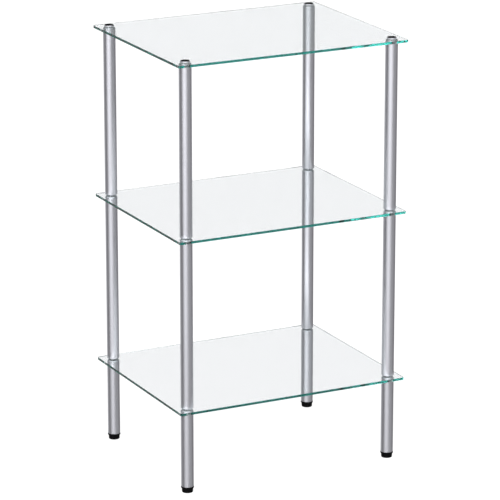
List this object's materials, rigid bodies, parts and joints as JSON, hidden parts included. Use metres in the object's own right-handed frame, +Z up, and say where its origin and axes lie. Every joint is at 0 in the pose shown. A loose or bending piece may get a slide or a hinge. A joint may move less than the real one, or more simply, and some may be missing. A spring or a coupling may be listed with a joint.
{
  "type": "glass shelf unit",
  "caption": "Free-standing bathroom shelf unit: clear glass shelves clamped between round satin silver tube posts, with capped tops and black foot glides.",
  "frame": {"origin": "on the floor, under the middle of the shelves", "axes": "+X along the long side of the shelves, +Y from front to back, +Z up"},
  "size_m": [0.4, 0.32, 0.7],
  "materials": {
    "clear_glass": "clear float glass, polished green edges",
    "satin_silver": "satin silver lacquer on steel",
    "black_plastic": "moulded, satin",
    "zinc_steel": "bright zinc plated",
    "clear_plastic": "clear moulded"
  },
  "bodies": {
    "root": {"bushes_bottom_shelf": "clear_plastic", "bushes_middle_shelf": "clear_plastic", "bushes_top_shelf": "clear_plastic", "cap_plug_back_left": "black_plastic", "cap_plug_back_right": "black_plastic", "cap_plug_front_left": "black_plastic", "cap_plug_front_right": "black_plastic", "cap_screw_back_left": "satin_silver", "cap_screw_back_right": "satin_silver", "cap_screw_front_left": "satin_silver", "cap_screw_front_right": "satin_silver", "foot_glide_back_left": "black_plastic", "foot_glide_back_right": "black_plastic", "foot_glide_front_left": "black_plastic", "foot_glide_front_right": "black_plastic", "inserts_leg_top": "zinc_steel", "inserts_middle_tube_bottom": "zinc_steel", "inserts_middle_tube_top": "zinc_steel", "inserts_upper_tube_bottom": "zinc_steel", "inserts_upper_tube_top": "zinc_steel", "joint_studs_bottom": "zinc_steel", "joint_studs_middle": "zinc_steel", "leg_tube_back_left": "satin_silver", "leg_tube_back_right": "satin_silver", "leg_tube_front_left": "satin_silver", "leg_tube_front_right": "satin_silver", "middle_tube_back_left": "satin_silver", "middle_tube_back_right": "satin_silver", "middle_tube_front_left": "satin_silver", "middle_tube_front_right": "satin_silver", "shelf_bottom": "clear_glass", "shelf_middle": "clear_glass", "shelf_top": "clear_glass", "upper_tube_back_left": "satin_silver", "upper_tube_back_right": "satin_silver", "upper_tube_front_left": "satin_silver", "upper_tube_front_right": "satin_silver", "washers_bottom_shelf": "clear_plastic", "washers_middle_shelf": "clear_plastic", "washers_top_shelf": "clear_plastic"}
  },
  "joints": []
}
